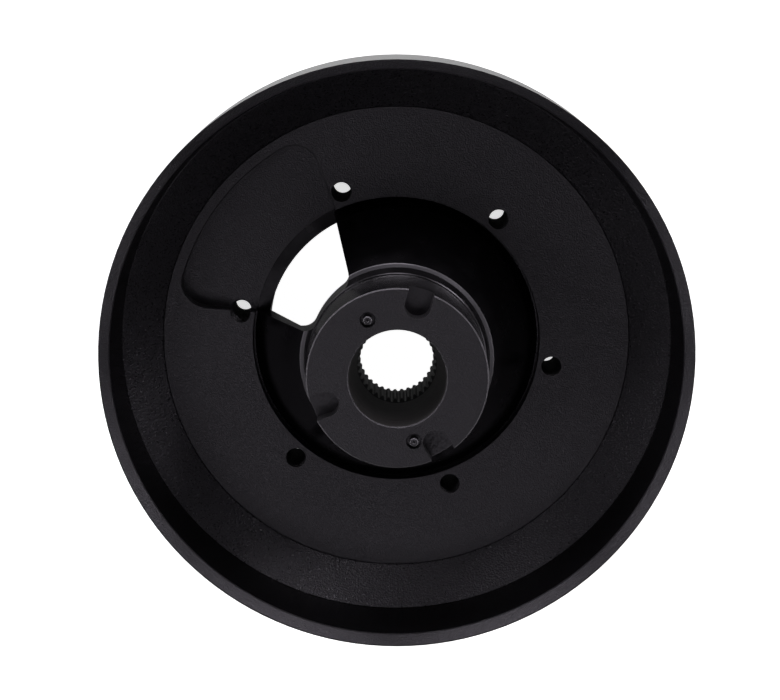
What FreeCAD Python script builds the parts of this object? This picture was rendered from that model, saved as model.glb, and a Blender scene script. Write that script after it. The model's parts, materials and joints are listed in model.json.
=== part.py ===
import FreeCAD, Part
import math
import os

# Steering wheel hub adapter: the short hub that joins a six-bolt steering wheel to a splined
# steering column. All sizes are in millimetres.
# Frame: +Z runs along the hub's axis from the steering wheel towards the column. The origin is
# the centre of the face that the steering wheel bolts to, so the hub stands on that face.

# Driving dimensions: steering wheel side
WHEEL_PCD = 70.0
BOLT_COUNT = 6
FIRST_BOLT_ANGLE = 50.1
BOLT_HOLE_R = 2.1
BOLT_HOLE_BREAK = 0.15
FACE_R = 44.0
PLATE_Z = 18.0

# Driving dimensions: outer skirt
RIM_R = 62.85
RIM_Z = 42.5
BEVEL_R = 60.75
BEVEL_Z = 40.0
BAND_OUTER_R = 60.0
BAND_Z = 24.3
REGISTER_R = 51.6
REGISTER_Z = 12.0
TAPER_TOP_Z = 20.0

# Driving dimensions: cone between the plate and the boss
CONE_FIT_R = 31.7
CONE_FOOT_R = 31.4
CONE_TOP_R = 20.45
CONE_TOP_Z = 41.1
CONE_FLARE = 0.42
LEDGE_R = 19.75
LEDGE_Z = 41.5
COLLAR_R = 18.8
COLLAR_Z = 43.7
CAVITY_R = 28.7
CAVITY_FLARE = 0.36

# Driving dimensions: cable recess in the plate, and the window that it opens through the cone
RECESS_FLOOR_Z = 13.5
RECESS_R = 49.2
RECESS_CORNER_R = 5.5
RECESS_SIDES = ((110.1, 2.6), (175.0, 3.45))
WINDOW_SIDES = ((109.6, 3.5), (180.0, 6.0))
WINDOW_CORNER_R = 3.0

# Driving dimensions: column boss, its cam slots and its cam pins
BOSS_R = 18.47
BOSS_Z = 61.9
BOSS_FOOT_Z = 33.9
TAPER_MOUTH_R = 10.0
TAPER_END_R = 8.35
SLOT_R = 2.65
SLOT_CENTRE_R = 15.4
SLOT_DEPTH = 4.3
SLOT_ANGLES = (74.6, 200.0, 300.5)
PIN_R = 1.5
PIN_CENTRE_R = 13.4
PIN_ANGLES = (116.6, 284.5)
PIN_LENGTH = 12.0
PIN_STAND = 0.8
PIN_NOSE_R = 0.85
PIN_GAP_DEPTH = 1.2
PIN_DIMPLE_R = 0.3

# Driving dimensions: splined sleeve
SLEEVE_R = 12.0
SLEEVE_Z = 46.0
SPLINE_TEETH = 36
SPLINE_ROOT_R = 8.25
SPLINE_TIP_R = 7.77
SPLINE_LEAD = 1.8

EDGE_BREAK = 0.25
FINE_BREAK = 0.15
AXIS = FreeCAD.Vector(0, 0, 1)
CENTRE = FreeCAD.Vector(0, 0, 0)


def polar(radius, degrees, z=0.0):
    """Point at a radius and an angle about the hub's axis."""
    angle = math.radians(degrees)
    return FreeCAD.Vector(radius * math.cos(angle), radius * math.sin(angle), z)


def break_corner(before, corner, after, size):
    """Two profile points that replace a corner with a flat of the given leg length."""
    points = []
    for end in (before, after):
        length = math.dist(corner, end)
        share = size / length
        points.append((corner[0] + (end[0] - corner[0]) * share,
                       corner[1] + (end[1] - corner[1]) * share))
    return points


def turned(profile):
    """Solid of revolution. Each profile entry is (r, z) or (r, z, edge break)."""
    outline = []
    for index, entry in enumerate(profile):
        corner = entry[:2]
        if len(entry) == 2:
            outline.append(corner)
            continue
        before = profile[index - 1][:2]
        after = profile[(index + 1) % len(profile)][:2]
        outline.extend(break_corner(before, corner, after, entry[2]))
    points = [FreeCAD.Vector(r, 0, z) for r, z in outline]
    face = Part.Face(Part.makePolygon(points + points[:1]))
    return face.revolve(CENTRE, AXIS, 360)


def cylinder(radius, z_low, z_high, centre=CENTRE):
    """Upright cylinder about a centre."""
    base = FreeCAD.Vector(centre.x, centre.y, z_low)
    return Part.makeCylinder(radius, z_high - z_low, base, AXIS)


def side_line(side, turn):
    """A side's direction, and the point where its line is nearest to the axis."""
    angle, offset = side
    return polar(1.0, angle), polar(offset, angle + turn)


def sector(sides, r_in, r_out, z_low, z_high):
    """Prism between two side planes, each set off from the radial line into the sector."""
    reach = 4 * RIM_R
    way_a, near_a = side_line(sides[0], 90)
    way_b, near_b = side_line(sides[1], -90)
    cross = way_a.x * way_b.y - way_a.y * way_b.x
    gap = near_b - near_a
    apex = near_a + way_a * ((gap.x * way_b.y - gap.y * way_b.x) / cross)
    corners = [apex, near_a + way_a * reach, near_b + way_b * reach]
    for corner in corners:
        corner.z = z_low
    wedge = Part.Face(Part.makePolygon(corners + corners[:1])).extrude(AXIS * (z_high - z_low))
    ring = cylinder(r_out, z_low, z_high).cut(cylinder(r_in, z_low, z_high))
    return wedge.common(ring)


def upright_edges(solid, radius):
    """The upright edges of a prism that stand at a radius."""
    found = []
    for edge in solid.Edges:
        start = edge.Vertexes[0].Point
        end = edge.Vertexes[-1].Point
        upright = abs(start.z - end.z) > 1.0 and abs(start.x - end.x) < 1e-6
        if upright and abs(math.hypot(start.x, start.y) - radius) < 1e-3:
            found.append(edge)
    return found


def broken_rim(solid, z, size, r_low, r_high):
    """Break the straight and fillet edges that a sector cut leaves in a flat face."""
    edges = []
    for edge in solid.Edges:
        box = edge.BoundBox
        in_face = abs(box.ZMin - z) < 1e-4 and abs(box.ZMax - z) < 1e-4
        middle = edge.valueAt((edge.FirstParameter + edge.LastParameter) / 2)
        radius = math.hypot(middle.x, middle.y)
        whole_circle = edge.Closed
        if in_face and not whole_circle and r_low < radius < r_high:
            edges.append(edge)
    return solid.makeChamfer(size, edges)


def taper_r(z):
    """Radius of the hub's outer taper at a height."""
    return FACE_R + (RIM_R - FACE_R) * z / TAPER_TOP_Z


def outer_skirt():
    """Outer ring: upright skirt with a bevelled rim, dished band, and register for the flange."""
    return turned([
        (REGISTER_R, REGISTER_Z),
        (taper_r(REGISTER_Z), REGISTER_Z),
        (RIM_R, TAPER_TOP_Z, EDGE_BREAK),
        (RIM_R, RIM_Z, FINE_BREAK),
        (BEVEL_R, BEVEL_Z, EDGE_BREAK),
        (BAND_OUTER_R, BAND_Z),
        (REGISTER_R, PLATE_Z, FINE_BREAK),
    ])


def wheel_flange():
    """Thick ring that the steering wheel bolts to, with the cable recess milled in its top."""
    solid = turned([
        (CONE_FIT_R, 0),
        (FACE_R, 0, EDGE_BREAK),
        (taper_r(REGISTER_Z), REGISTER_Z),
        (REGISTER_R, REGISTER_Z),
        (REGISTER_R, PLATE_Z, FINE_BREAK),
        (CONE_FIT_R, PLATE_Z, FINE_BREAK),
    ])
    recess = sector(RECESS_SIDES, COLLAR_R, RECESS_R, RECESS_FLOOR_Z, BOSS_Z)
    recess = recess.makeFillet(RECESS_CORNER_R, upright_edges(recess, RECESS_R))
    solid = broken_rim(solid.cut(recess), PLATE_Z, FINE_BREAK, CONE_FIT_R + 1, RECESS_R + 1)
    break_r = BOLT_HOLE_R + BOLT_HOLE_BREAK
    for index in range(BOLT_COUNT):
        centre = polar(WHEEL_PCD / 2, FIRST_BOLT_ANGLE + index * 360 / BOLT_COUNT)
        solid = solid.cut(cylinder(BOLT_HOLE_R, -1, PLATE_Z + 1, centre))
        for z, z_inside in ((0, BOLT_HOLE_BREAK), (PLATE_Z, PLATE_Z - BOLT_HOLE_BREAK)):
            low = FreeCAD.Vector(centre.x, centre.y, min(z, z_inside))
            radii = (break_r, BOLT_HOLE_R) if z == 0 else (BOLT_HOLE_R, break_r)
            solid = solid.cut(Part.makeCone(radii[0], radii[1], BOLT_HOLE_BREAK, low, AXIS))
    return solid


def hub_cone():
    """Cone that carries the boss, with its foot in the flange and a window cut for cables."""
    foot_z = CONE_TOP_Z - (CONE_FOOT_R - CONE_TOP_R) / CONE_FLARE
    roof_r = CAVITY_R - CAVITY_FLARE * (BOSS_FOOT_Z - RECESS_FLOOR_Z)
    solid = turned([
        (CAVITY_R, 0, EDGE_BREAK),
        (CONE_FIT_R, 0),
        (CONE_FIT_R, foot_z),
        (CONE_FOOT_R, foot_z),
        (CONE_TOP_R, CONE_TOP_Z, FINE_BREAK),
        (LEDGE_R, LEDGE_Z),
        (COLLAR_R, COLLAR_Z, FINE_BREAK),
        (BOSS_R, COLLAR_Z),
        (BOSS_R, BOSS_FOOT_Z),
        (roof_r, BOSS_FOOT_Z),
        (CAVITY_R, RECESS_FLOOR_Z),
    ])
    window = sector(WINDOW_SIDES, COLLAR_R, RECESS_R, RECESS_FLOOR_Z, BOSS_Z)
    window = window.makeFillet(WINDOW_CORNER_R, upright_edges(window, COLLAR_R))
    return solid.cut(window)


def column_boss():
    """Boss with the tapered bore that seats on the column, three cam slots and two pin holes."""
    solid = turned([
        (SLEEVE_R, BOSS_FOOT_Z),
        (BOSS_R, BOSS_FOOT_Z),
        (BOSS_R, BOSS_Z, EDGE_BREAK),
        (TAPER_MOUTH_R, BOSS_Z, EDGE_BREAK),
        (TAPER_END_R, SLEEVE_Z),
        (SLEEVE_R, SLEEVE_Z),
    ])
    floor_z = BOSS_Z - SLOT_DEPTH
    for angle in SLOT_ANGLES:
        mouth = Part.makeBox(BOSS_R, 2 * SLOT_R, BOSS_Z, FreeCAD.Vector(0, -SLOT_R, floor_z))
        mouth.translate(FreeCAD.Vector(SLOT_CENTRE_R, 0, 0))
        mouth.rotate(CENTRE, AXIS, angle)
        end = cylinder(SLOT_R, floor_z, BOSS_Z + 1, polar(SLOT_CENTRE_R, angle))
        solid = solid.cut(mouth.fuse(end))
    for angle in PIN_ANGLES:
        centre = polar(PIN_CENTRE_R, angle)
        solid = solid.cut(cylinder(PIN_R, BOSS_Z - PIN_LENGTH, BOSS_Z + 1, centre))
        mouth = FreeCAD.Vector(centre.x, centre.y, BOSS_Z - FINE_BREAK)
        solid = solid.cut(Part.makeCone(PIN_R, PIN_R + FINE_BREAK, FINE_BREAK, mouth, AXIS))
    return solid


def spline_section(z_low, z_high):
    """Prism of the spline's open space, with straight-sided teeth left standing."""
    pitch = 360 / SPLINE_TEETH
    points = []
    for index in range(SPLINE_TEETH):
        start = index * pitch
        points.append(polar(SPLINE_ROOT_R, start + 0.12 * pitch, z_low))
        points.append(polar(SPLINE_ROOT_R, start + 0.38 * pitch, z_low))
        points.append(polar(SPLINE_TIP_R, start + 0.62 * pitch, z_low))
        points.append(polar(SPLINE_TIP_R, start + 0.88 * pitch, z_low))
    face = Part.Face(Part.makePolygon(points + points[:1]))
    return face.extrude(AXIS * (z_high - z_low))


def spline_sleeve():
    """Splined sleeve pressed into the boss from the steering wheel side."""
    solid = turned([
        (0, BOSS_FOOT_Z),
        (SLEEVE_R, BOSS_FOOT_Z),
        (SLEEVE_R, SLEEVE_Z),
        (0, SLEEVE_Z),
    ])
    solid = solid.cut(spline_section(BOSS_FOOT_Z - 1, SLEEVE_Z + 1))
    lead = FreeCAD.Vector(0, 0, SLEEVE_Z - SPLINE_LEAD)
    solid = solid.cut(Part.makeCone(SPLINE_TIP_R, TAPER_END_R, SPLINE_LEAD, lead, AXIS))
    exit_r = SPLINE_ROOT_R + FINE_BREAK
    exit_z = FreeCAD.Vector(0, 0, BOSS_FOOT_Z)
    return solid.cut(Part.makeCone(exit_r, SPLINE_TIP_R, exit_r - SPLINE_TIP_R, exit_z, AXIS))


def cam_pin(angle):
    """Dowel pin whose thin nose stands proud of the boss, with a gap round it and a dimple."""
    nose_z = BOSS_Z + PIN_STAND
    shoulder_z = BOSS_Z - PIN_GAP_DEPTH
    solid = turned([
        (0, BOSS_Z - PIN_LENGTH),
        (PIN_R, BOSS_Z - PIN_LENGTH),
        (PIN_R, shoulder_z),
        (PIN_NOSE_R, shoulder_z),
        (PIN_NOSE_R, nose_z, FINE_BREAK),
        (PIN_DIMPLE_R, nose_z),
        (0, nose_z - PIN_DIMPLE_R),
    ])
    solid.translate(polar(PIN_CENTRE_R, angle))
    return solid


def save(name, solid):
    """Write one sub-part and print its size."""
    box = solid.BoundBox
    print(f"{name:15s} valid {solid.isValid()} solids {len(solid.Solids)} "
          f"volume {solid.Volume:9.1f} z {box.ZMin:6.2f} to {box.ZMax:6.2f}")
    solid.exportStep(f"parts/{name}.step")


os.makedirs("parts", exist_ok=True)
save("outer_skirt", outer_skirt())
save("wheel_flange", wheel_flange())
save("hub_cone", hub_cone())
save("column_boss", column_boss())
save("spline_sleeve", spline_sleeve())
for number, pin_angle in enumerate(PIN_ANGLES, start=1):
    save(f"cam_pin_{number}", cam_pin(pin_angle))
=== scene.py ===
import json
import math

import bmesh
import bpy
from mathutils import Euler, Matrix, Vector


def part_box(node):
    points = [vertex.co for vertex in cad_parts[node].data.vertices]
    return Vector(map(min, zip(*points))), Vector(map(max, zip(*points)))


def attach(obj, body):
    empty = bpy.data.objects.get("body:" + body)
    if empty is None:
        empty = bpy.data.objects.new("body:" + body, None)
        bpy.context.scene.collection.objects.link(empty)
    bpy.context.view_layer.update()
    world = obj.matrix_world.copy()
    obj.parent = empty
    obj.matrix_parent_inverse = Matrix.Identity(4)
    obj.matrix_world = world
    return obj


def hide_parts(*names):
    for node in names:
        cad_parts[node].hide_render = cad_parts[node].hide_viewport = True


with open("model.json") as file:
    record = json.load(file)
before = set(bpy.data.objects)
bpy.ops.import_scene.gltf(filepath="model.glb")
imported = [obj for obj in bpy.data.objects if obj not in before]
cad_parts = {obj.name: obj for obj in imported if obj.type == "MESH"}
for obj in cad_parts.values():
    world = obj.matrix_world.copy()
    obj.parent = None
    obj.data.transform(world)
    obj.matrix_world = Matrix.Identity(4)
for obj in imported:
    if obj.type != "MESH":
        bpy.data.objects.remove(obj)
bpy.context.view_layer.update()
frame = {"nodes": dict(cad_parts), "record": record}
nodes = frame["nodes"]

MM = 0.001

# Camera, in degrees and metres: it looks down the hub's axis, from a little towards +Y.
CAMERA_TILT = -10.639
CAMERA_ROLL = -0.1445
CAMERA_PLACE = (-0.00255, 0.08413, 0.47827)
CAMERA_LENS = 97.41
SENSOR_WIDTH = 36.0

# Lights, all at one distance: azimuth from +X towards +Y and elevation in degrees, power in watts.
# The hub is glossy black, so what it reflects makes its tones: low boxes on the +Y side, high ones
# on the -Y side, and strips near the horizon that catch its walls and bevels.
LIGHT_DISTANCE = 1.3
BOX_SIZE = (0.45, 0.45)
BOXES = (
    (0, 22, 0.5),
    (45, 22, 5.0),
    (90, 22, 3.4),
    (135, 22, 1.3),
    (180, 50, 1.5),
    (225, 62, 0.65),
    (270, 65, 1.0),
    (315, 62, 0.4),
)
STRIP_SIZE = (0.8, 0.2)
STRIP_ELEVATION = 6
# Azimuth and power of each strip.
STRIPS = (
    (0, 6.0),
    (45, 2.0),
    (90, 9.0),
    (135, 7.5),
    (180, 5.5),
    (225, 4.0),
    (270, 0.4),
    (315, 3.0),
)
ROOM_COLOUR = (0.95, 0.96, 1.0)
ROOM_STRENGTH = 0.006

# The floor: what it throws on the hub, how bright it looks, and how bright it looks under the hub,
# where a shade is painted into its glow that fades from a share of the skirt's radius to the skirt.
FLOOR_SIZE = 6.0
FLOOR_COLOUR = (0.8, 0.8, 0.8)
FLOOR_ROUGHNESS = 0.9
FLOOR_GLOW = 0.08
BACKDROP_GLOW = 1.0
PAINTED_SHADE_GLOW = 0.72
PAINTED_SHADE_FADES_FROM = 0.75

# The tapped holes: M5 threads in the flange. The flats are a share of the profile's rise. The
# steps go round a turn, and the rows along a pitch.
THREAD_PITCH = 0.8 * MM
THREAD_CREST_R = 2.05 * MM
THREAD_ROOT_R = 2.5 * MM
THREAD_FLAT = 0.1
THREAD_RUNOUT = 0.6 * MM
THREAD_STEPS = 24
THREAD_ROWS = 6
BOLT_MOUTH_R = 2.3 * MM

# A faint handling scratch on the floor of the cable recess.
SCRATCH_CENTRE = (-38 * MM, 6 * MM)
SCRATCH_R = 22.9 * MM
SCRATCH_FROM = -31 * MM

# Where a piece's finish changes: depths below its top, one in from its rim, and two radii.
BEVEL_DEPTH = 2.6 * MM
SKIRT_WALL = 2.95 * MM
LEDGE_DEPTHS = (2.75 * MM, 2.1 * MM)
BORE_R = 10.2 * MM
TOOTH_TIP_R = 7.9 * MM
NOSE_DEPTH = 0.3 * MM

# Grain of the blasted and the satin surfaces: its size, its depth, and the noise that lights up
# as flecks or specks. Then how far wear reaches from an edge.
BLAST_GRAIN = 0.4 * MM
BLAST_DEPTH = 0.22 * MM
FLECK_LIMITS = (0.52, 0.68)
SATIN_GRAIN = 0.32 * MM
SATIN_DEPTH = 0.15 * MM
SPECK_LIMITS = (0.52, 0.7)
GRAIN_DETAIL = 4.0
EDGE_WEAR = 0.12 * MM

# Range of noise that a roughness is spread over: the steep middle for grain, wider for clouds.
GRAINY = (0.35, 0.65)
CLOUDY = (0.3, 0.7)

# Roughness of each surface, from its smoothest places to its roughest where it varies.
BLASTED_ROUGHNESS = (0.26, 0.5)
BEVEL_ROUGHNESS = 0.44
TURNED_ROUGHNESS = 0.18
OUTSIDE_ROUGHNESS = 0.14
SATIN_ROUGHNESS = (0.3, 0.54)
THREAD_ROUGHNESS = 0.5
CONE_ROUGHNESS = (0.2, 0.28)
LEDGE_ROUGHNESS = 0.42
END_ROUGHNESS = (0.36, 0.6)
BOSS_SIDE_ROUGHNESS = 0.26
BORE_ROUGHNESS = 0.5
SLEEVE_ROUGHNESS = (0.32, 0.42)
PIN_ROUGHNESS = (0.36, 0.48)

# Base colours are nearly black everywhere: most of each tone is gloss.
BLACK = (0.0016, 0.0015, 0.0020)
DEEP_BLACK = (0.0010, 0.0009, 0.0011)
RUBBED = (0.0036, 0.0034, 0.0042)
SPECK = (0.0085, 0.0080, 0.0092)
FLECK = (0.0170, 0.0160, 0.0180)
WORN = (0.018, 0.0175, 0.0175)
BROWN_BLACK = (0.0050, 0.0038, 0.0030)

# Cast that the black dye gives to the gloss, and the strength of the gloss.
DYE = (0.94, 0.87, 1.0)
WHITE = (1.0, 1.0, 1.0)
ANODISED_IOR = 1.62
OXIDE_IOR = 1.35

WELD_DISTANCE = 0.001 * MM
SMOOTH_ANGLE = math.radians(30)


def make_camera():
    """The camera at the hub's column side."""
    data = bpy.data.cameras.new("camera")
    data.lens = CAMERA_LENS
    data.sensor_width = SENSOR_WIDTH
    data.clip_start = 0.01
    data.clip_end = 50.0
    camera = bpy.data.objects.new("camera", data)
    camera.location = CAMERA_PLACE
    camera.rotation_euler = Euler((math.radians(CAMERA_TILT), math.radians(CAMERA_ROLL), 0))
    bpy.context.scene.collection.objects.link(camera)
    bpy.context.scene.camera = camera


def soft_light(azimuth, elevation, power, size):
    """A soft box that faces the hub."""
    data = bpy.data.lights.new("soft_light", "AREA")
    data.shape = "RECTANGLE"
    data.size, data.size_y = size
    data.energy = power
    light = bpy.data.objects.new("soft_light", data)
    around, up = math.radians(azimuth), math.radians(elevation)
    way = Vector((math.cos(around) * math.cos(up), math.sin(around) * math.cos(up), math.sin(up)))
    light.location = way * LIGHT_DISTANCE
    light.rotation_euler = way.to_track_quat("Z", "Y").to_euler()
    bpy.context.scene.collection.objects.link(light)


def make_lights():
    """Soft studio light: the boxes, the strips and a dim room."""
    for azimuth, elevation, power in BOXES:
        soft_light(azimuth, elevation, power, BOX_SIZE)
    for azimuth, power in STRIPS:
        soft_light(azimuth, STRIP_ELEVATION, power, STRIP_SIZE)
    world = bpy.data.worlds.new("room")
    world.use_nodes = True
    back = world.node_tree.nodes["Background"]
    back.inputs["Color"].default_value = (*ROOM_COLOUR, 1)
    back.inputs["Strength"].default_value = ROOM_STRENGTH
    bpy.context.scene.world = world


def make_floor():
    """A plain pale floor. It looks white, with a painted shade that greys it a little under the
    hub, and throws little light.
    """
    half = FLOOR_SIZE / 2
    mesh = bpy.data.meshes.new("floor")
    corners = [(-half, -half, 0), (half, -half, 0), (half, half, 0), (-half, half, 0)]
    mesh.from_pydata(corners, [], [(0, 1, 2, 3)])
    floor = bpy.data.objects.new("floor", mesh)
    bpy.context.scene.collection.objects.link(floor)
    finish = Finish("pale_floor", tint=WHITE)
    outer_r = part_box("outer_skirt")[1].x
    # Painted shade: the glow the camera sees drops under the hub's flange and fades out at the
    # skirt, a shadow painted rather than cast.
    under = finish.above(finish.radius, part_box("hub_cone")[1].x)
    fade = finish.ramp(finish.radius, PAINTED_SHADE_FADES_FROM * outer_r, outer_r, 1.0, 0.0)
    glow_with_painted_shade = finish.mix(finish.both(under, fade), BACKDROP_GLOW, PAINTED_SHADE_GLOW)
    camera_ray = finish.node("ShaderNodeLightPath").outputs["Is Camera Ray"]
    finish.feed(finish.shader.inputs["Emission Color"], WHITE)
    finish.feed(finish.shader.inputs["Emission Strength"], finish.mix(camera_ray, FLOOR_GLOW, glow_with_painted_shade))
    mesh.materials.append(finish.done(FLOOR_COLOUR, FLOOR_ROUGHNESS))


def screw(centre, low, high):
    """Vertices and faces of a closed screw that cuts an internal thread between two heights."""
    rows = round((high - low) / THREAD_PITCH * THREAD_ROWS)
    corners = []
    for row in range(rows + 1):
        z = low + row * THREAD_PITCH / THREAD_ROWS
        for step in range(THREAD_STEPS):
            turn = (z / THREAD_PITCH - step / THREAD_STEPS) % 1.0
            rise = 1 - 2 * abs(turn - 0.5)
            flank = min(max((rise - THREAD_FLAT) / (1 - 2 * THREAD_FLAT), 0.0), 1.0)
            radius = THREAD_CREST_R + (THREAD_ROOT_R - THREAD_CREST_R) * flank
            angle = 2 * math.pi * step / THREAD_STEPS
            corners.append((centre.x + radius * math.cos(angle),
                            centre.y + radius * math.sin(angle), z))
    faces = []
    for row in range(rows):
        for step in range(THREAD_STEPS):
            here = row * THREAD_STEPS
            following = (step + 1) % THREAD_STEPS
            faces.append((here + step, here + following,
                          here + THREAD_STEPS + following, here + THREAD_STEPS + step))
    faces.append(tuple(reversed(range(THREAD_STEPS))))
    faces.append(tuple(rows * THREAD_STEPS + step for step in range(THREAD_STEPS)))
    return corners, faces


def bolt_centres():
    """Axes of the tapped holes, from the flange's lowest face."""
    mesh = nodes["wheel_flange"].data
    pattern = next(m for m in frame["record"]["mounts"] if m["name"] == "wheel_bolts")
    ring_r = pattern["dims"]["pcd_mm"] * MM / 2
    count = pattern["dims"]["count"]
    share = 360 / count
    turns = []
    for vertex in mesh.vertices:
        radius = math.hypot(vertex.co.x, vertex.co.y)
        if abs(vertex.co.z) < WELD_DISTANCE and abs(radius - ring_r) < BOLT_MOUTH_R:
            turns.append(math.degrees(math.atan2(vertex.co.y, vertex.co.x)) % share)
    first = math.radians(sum(turns) / len(turns))
    return [Vector((ring_r * math.cos(first + math.radians(share * i)),
                    ring_r * math.sin(first + math.radians(share * i)), 0)) for i in range(count)]


def threaded_flange(centres):
    """The flange with its threads cut: it stands for the CAD flange, whose bores are plain."""
    low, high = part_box("wheel_flange")
    solid = bmesh.new()
    solid.from_mesh(nodes["wheel_flange"].data)
    bmesh.ops.remove_doubles(solid, verts=solid.verts, dist=WELD_DISTANCE)
    solid.verts.index_update()
    mesh = bpy.data.meshes.new("threaded_flange")
    mesh.from_pydata([vertex.co for vertex in solid.verts], [],
                     [[vertex.index for vertex in face.verts] for face in solid.faces])
    solid.free()
    flange = bpy.data.objects.new("threaded_flange", mesh)
    bpy.context.scene.collection.objects.link(flange)
    cutter_mesh = bpy.data.meshes.new("thread_cutter")
    corners, faces = [], []
    for centre in centres:
        screw_corners, screw_faces = screw(centre, low.z - MM, high.z - THREAD_RUNOUT)
        faces.extend(tuple(index + len(corners) for index in face) for face in screw_faces)
        corners.extend(screw_corners)
    cutter_mesh.from_pydata(corners, [], faces)
    cutter = bpy.data.objects.new("thread_cutter", cutter_mesh)
    bpy.context.scene.collection.objects.link(cutter)
    cut = flange.modifiers.new("threads", "BOOLEAN")
    cut.operation = "DIFFERENCE"
    cut.solver = "MANIFOLD"
    cut.object = cutter
    finished = flange.evaluated_get(bpy.context.evaluated_depsgraph_get())
    flange.data = bpy.data.meshes.new_from_object(finished)
    flange.modifiers.clear()
    bpy.data.objects.remove(cutter)
    flange.data.shade_smooth()
    flange.data.set_sharp_from_angle(angle=SMOOTH_ANGLE)
    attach(flange, "root")
    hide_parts("wheel_flange")
    return flange


class Finish:
    """A material, with short calls for the nodes that feed its shader."""

    # Places of the share, the two values and the result among a Mix node's sockets.
    COLOUR_SOCKETS = (0, 6, 7, 2)
    NUMBER_SOCKETS = (0, 2, 3, 0)
    # Wear starts and is full where a rounded edge's normal is this like the real one.
    EDGE_LIMITS = (0.99, 0.85)
    EDGE_SAMPLES = 6

    def __init__(self, name, ior=ANODISED_IOR, tint=DYE):
        self.material = bpy.data.materials.new(name)
        self.material.use_nodes = True
        self.tree = self.material.node_tree
        self.shader = self.tree.nodes["Principled BSDF"]
        self.shader.inputs["IOR"].default_value = ior
        self.shader.inputs["Specular Tint"].default_value = (*tint, 1)
        self.place = self.node("ShaderNodeTexCoord").outputs["Object"]
        self.x, self.y, self.z = self.node("ShaderNodeSeparateXYZ", Vector=self.place).outputs
        self.radius = self.distance((0, 0))
        self.relief = None

    def node(self, kind, **inputs):
        """A node with its inputs set or linked."""
        made = self.tree.nodes.new(kind)
        for key, value in inputs.items():
            self.feed(made.inputs[key.replace("_", " ")], value)
        return made

    def feed(self, socket, value):
        """Link a socket to another node's output, or set its own value."""
        if isinstance(value, bpy.types.NodeSocket):
            self.tree.links.new(value, socket)
        elif socket.type == "RGBA":
            socket.default_value = (*value, 1)
        else:
            socket.default_value = value

    def math(self, operation, *values):
        """One maths node."""
        made = self.node("ShaderNodeMath")
        made.operation = operation
        for socket, value in zip(made.inputs, values):
            self.feed(socket, value)
        return made.outputs[0]

    def distance(self, centre):
        """Distance from an upright axis."""
        across = self.math("SUBTRACT", self.x, centre[0])
        along = self.math("SUBTRACT", self.y, centre[1])
        squares = self.math("MULTIPLY_ADD", across, across, self.math("MULTIPLY", along, along))
        return self.math("SQRT", squares)

    def ramp(self, value, start, end, at_start=0.0, at_end=1.0):
        """Value carried smoothly from one range to another, and held at its ends."""
        made = self.node("ShaderNodeMapRange", Value=value)
        made.interpolation_type = "SMOOTHSTEP"
        limits = (("From Min", start), ("From Max", end), ("To Min", at_start), ("To Max", at_end))
        for key, limit in limits:
            made.inputs[key].default_value = limit
        return made.outputs["Result"]

    def above(self, value, limit, blur=0.05 * MM):
        """One above a limit, nothing below it."""
        return self.ramp(value, limit - blur, limit + blur)

    def both(self, first, second):
        """Share that two masks have in common."""
        return self.math("MULTIPLY", first, second)

    def inverse(self, mask):
        """The rest of a mask."""
        return self.math("SUBTRACT", 1.0, mask)

    def mix(self, share, first, second):
        """Colour or number that goes from first to second with the share."""
        colour = any(isinstance(value, tuple) or getattr(value, "type", "") == "RGBA"
                     for value in (first, second))
        made = self.node("ShaderNodeMix")
        made.data_type = "RGBA" if colour else "FLOAT"
        *into, out = self.COLOUR_SOCKETS if colour else self.NUMBER_SOCKETS
        for place, value in zip(into, (share, first, second)):
            self.feed(made.inputs[place], value)
        return made.outputs[out]

    def noise(self, size, detail=3.0, where=None):
        """Noise whose features are about as large as the size, in metres."""
        made = self.node("ShaderNodeTexNoise", Vector=where or self.place, Scale=1.0 / size,
                         Detail=detail)
        return made.outputs["Fac"]

    def lathe(self, pitch):
        """Noise that runs round the axis like turning marks."""
        profile = self.node("ShaderNodeCombineXYZ", X=self.radius, Y=self.z)
        return self.noise(pitch, 2.0, profile.outputs[0])

    def edges(self, reach):
        """Wear: one on sharp edges, nothing a little away from them."""
        rounded = self.node("ShaderNodeBevel", Radius=reach)
        rounded.samples = self.EDGE_SAMPLES
        actual = self.node("ShaderNodeNewGeometry").outputs["Normal"]
        likeness = self.node("ShaderNodeVectorMath")
        likeness.operation = "DOT_PRODUCT"
        self.feed(likeness.inputs[0], rounded.outputs[0])
        self.feed(likeness.inputs[1], actual)
        return self.ramp(likeness.outputs["Value"], *self.EDGE_LIMITS)

    def carve(self, height, depth):
        """Add a relief, with its depth in metres."""
        made = self.node("ShaderNodeBump", Height=height, Distance=depth, Strength=1.0)
        if self.relief:
            self.feed(made.inputs["Normal"], self.relief)
        self.relief = made.outputs["Normal"]

    def done(self, colour, roughness):
        """Feed the shader, and give the material."""
        self.feed(self.shader.inputs["Base Color"], colour)
        self.feed(self.shader.inputs["Roughness"], roughness)
        if self.relief:
            self.feed(self.shader.inputs["Normal"], self.relief)
        return self.material


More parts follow.
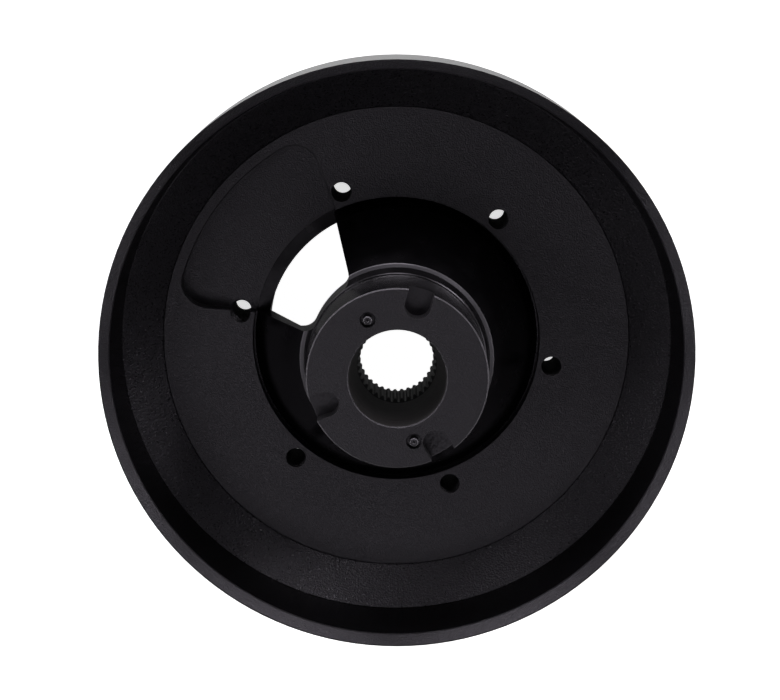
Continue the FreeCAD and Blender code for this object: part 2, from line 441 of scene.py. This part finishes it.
def skirt_finish():
    """Blasted band and bevel, and glossier turned walls inside and outside."""
    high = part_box("outer_skirt")[1]
    finish = Finish("skirt_anodised")
    bevel = finish.above(finish.z, high.z - BEVEL_DEPTH, 0.1 * MM)
    outside = finish.above(finish.radius, high.x - 0.2 * MM)
    inside = finish.both(finish.above(finish.radius, high.x - SKIRT_WALL), finish.inverse(bevel))
    turned = finish.math("MAXIMUM", inside, outside)
    grain = finish.noise(BLAST_GRAIN, GRAIN_DETAIL)
    finish.carve(finish.both(grain, finish.inverse(turned)), BLAST_DEPTH)
    finish.carve(finish.both(finish.lathe(0.3 * MM), turned), 0.004 * MM)
    colour = finish.mix(finish.ramp(grain, *FLECK_LIMITS), BLACK, FLECK)
    colour = finish.mix(turned, colour, DEEP_BLACK)
    colour = finish.mix(finish.edges(0.15 * MM), colour, WORN)
    uneven = finish.noise(0.45 * MM, GRAIN_DETAIL)
    roughness = finish.ramp(uneven, *GRAINY, *BLASTED_ROUGHNESS)
    roughness = finish.mix(turned, roughness, TURNED_ROUGHNESS)
    roughness = finish.mix(bevel, roughness, BEVEL_ROUGHNESS)
    return finish.done(colour, finish.mix(outside, roughness, OUTSIDE_ROUGHNESS))


def flange_finish(centres):
    """Fine satin, with dark threads, worn edges and one faint scratch in the recess."""
    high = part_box("wheel_flange")[1]
    finish = Finish("flange_anodised")
    grain = finish.noise(SATIN_GRAIN, GRAIN_DETAIL)
    finish.carve(grain, SATIN_DEPTH)
    finish.carve(finish.lathe(0.5 * MM), 0.002 * MM)
    bores = None
    for centre in centres:
        near = finish.inverse(finish.above(finish.distance(centre), THREAD_ROOT_R + 0.06 * MM))
        bores = finish.math("MAXIMUM", bores, near) if bores else near
    deep = finish.inverse(finish.above(finish.z, high.z - 0.3 * MM))
    threads = finish.both(bores, deep)
    colour = finish.mix(finish.noise(8 * MM), BLACK, RUBBED)
    colour = finish.mix(finish.ramp(grain, *SPECK_LIMITS), colour, SPECK)
    from_scratch = finish.math("SUBTRACT", finish.distance(SCRATCH_CENTRE), SCRATCH_R)
    scratch = finish.ramp(finish.math("ABSOLUTE", from_scratch), 0.12 * MM, 0.03 * MM)
    scratch = finish.both(scratch, finish.above(finish.x, SCRATCH_FROM, 2 * MM))
    scratch = finish.both(scratch, deep)
    scratch = finish.both(scratch, finish.ramp(finish.noise(2 * MM), 0.35, 0.55))
    colour = finish.mix(scratch, colour, WORN)
    colour = finish.mix(finish.edges(EDGE_WEAR), colour, WORN)
    colour = finish.mix(threads, colour, DEEP_BLACK)
    uneven = finish.noise(0.35 * MM, GRAIN_DETAIL)
    roughness = finish.ramp(uneven, *GRAINY, *SATIN_ROUGHNESS)
    return finish.done(colour, finish.mix(threads, roughness, THREAD_ROUGHNESS))


def cone_finish():
    """Glossy and turned, with fine marks; the ledge under the boss is satin."""
    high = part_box("hub_cone")[1]
    finish = Finish("cone_anodised")
    ledge_low, ledge_high = (finish.above(finish.z, high.z - depth) for depth in LEDGE_DEPTHS)
    ledge = finish.both(ledge_low, finish.inverse(ledge_high))
    finish.carve(finish.lathe(0.22 * MM), 0.004 * MM)
    finish.carve(finish.noise(0.3 * MM), 0.004 * MM)
    colour = finish.mix(ledge, DEEP_BLACK, RUBBED)
    colour = finish.mix(finish.edges(EDGE_WEAR), colour, WORN)
    roughness = finish.ramp(finish.noise(7 * MM), *CLOUDY, *CONE_ROUGHNESS)
    return finish.done(colour, finish.mix(ledge, roughness, LEDGE_ROUGHNESS))


def boss_finish():
    """Blasted end, glossier turned side, slots with a painted shade, and a brown-black taper in the
    bore.
    """
    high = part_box("column_boss")[1]
    finish = Finish("boss_anodised")
    inside = finish.inverse(finish.above(finish.radius, BORE_R))
    end = finish.above(finish.z, high.z - 0.4 * MM)
    taper = finish.both(inside, finish.inverse(end))
    side = finish.both(finish.above(finish.radius, high.x - 0.1 * MM), finish.inverse(end))
    grain = finish.noise(SATIN_GRAIN, GRAIN_DETAIL)
    finish.carve(finish.both(grain, end), SATIN_DEPTH)
    finish.carve(finish.both(finish.lathe(0.25 * MM), inside), 0.15 * MM)
    colour = finish.mix(finish.noise(5 * MM), BLACK, RUBBED)
    colour = finish.mix(finish.ramp(grain, *SPECK_LIMITS), colour, SPECK)
    # Below the end face the colour is the deepest black: the turned side's own colour, and painted
    # shade on the slot floors.
    colour = finish.mix(end, DEEP_BLACK, colour)
    colour = finish.mix(taper, colour, BROWN_BLACK)
    colour = finish.mix(finish.edges(EDGE_WEAR), colour, WORN)
    uneven = finish.noise(0.35 * MM, GRAIN_DETAIL)
    roughness = finish.ramp(uneven, *GRAINY, *END_ROUGHNESS)
    roughness = finish.mix(side, roughness, BOSS_SIDE_ROUGHNESS)
    return finish.done(colour, finish.mix(taper, roughness, BORE_ROUGHNESS))


def sleeve_finish():
    """Black oxide steel, rubbed on the tips of the teeth."""
    finish = Finish("sleeve_steel", ior=OXIDE_IOR)
    finish.carve(finish.noise(0.2 * MM), 0.006 * MM)
    tips = finish.inverse(finish.above(finish.radius, TOOTH_TIP_R, 0.12 * MM))
    colour = finish.mix(tips, DEEP_BLACK, WORN)
    return finish.done(colour, finish.ramp(finish.noise(MM), *CLOUDY, *SLEEVE_ROUGHNESS))


def pin_finish():
    """Black oxide steel with a worn nose."""
    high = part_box("cam_pin_1")[1]
    finish = Finish("pin_steel")
    finish.carve(finish.noise(0.2 * MM), 0.006 * MM)
    nose = finish.above(finish.z, high.z - NOSE_DEPTH, 0.1 * MM)
    colour = finish.mix(nose, DEEP_BLACK, RUBBED)
    return finish.done(colour, finish.ramp(finish.noise(MM), *CLOUDY, *PIN_ROUGHNESS))


def paint(piece, material):
    """Give a piece its finish."""
    piece.data.materials.clear()
    piece.data.materials.append(material)


make_camera()
make_lights()
make_floor()
bpy.context.scene.view_settings.view_transform = "Standard"

holes = bolt_centres()
paint(threaded_flange(holes), flange_finish(holes))
paint(nodes["outer_skirt"], skirt_finish())
paint(nodes["hub_cone"], cone_finish())
paint(nodes["column_boss"], boss_finish())
paint(nodes["spline_sleeve"], sleeve_finish())
pin_steel = pin_finish()
paint(nodes["cam_pin_1"], pin_steel)
paint(nodes["cam_pin_2"], pin_steel)
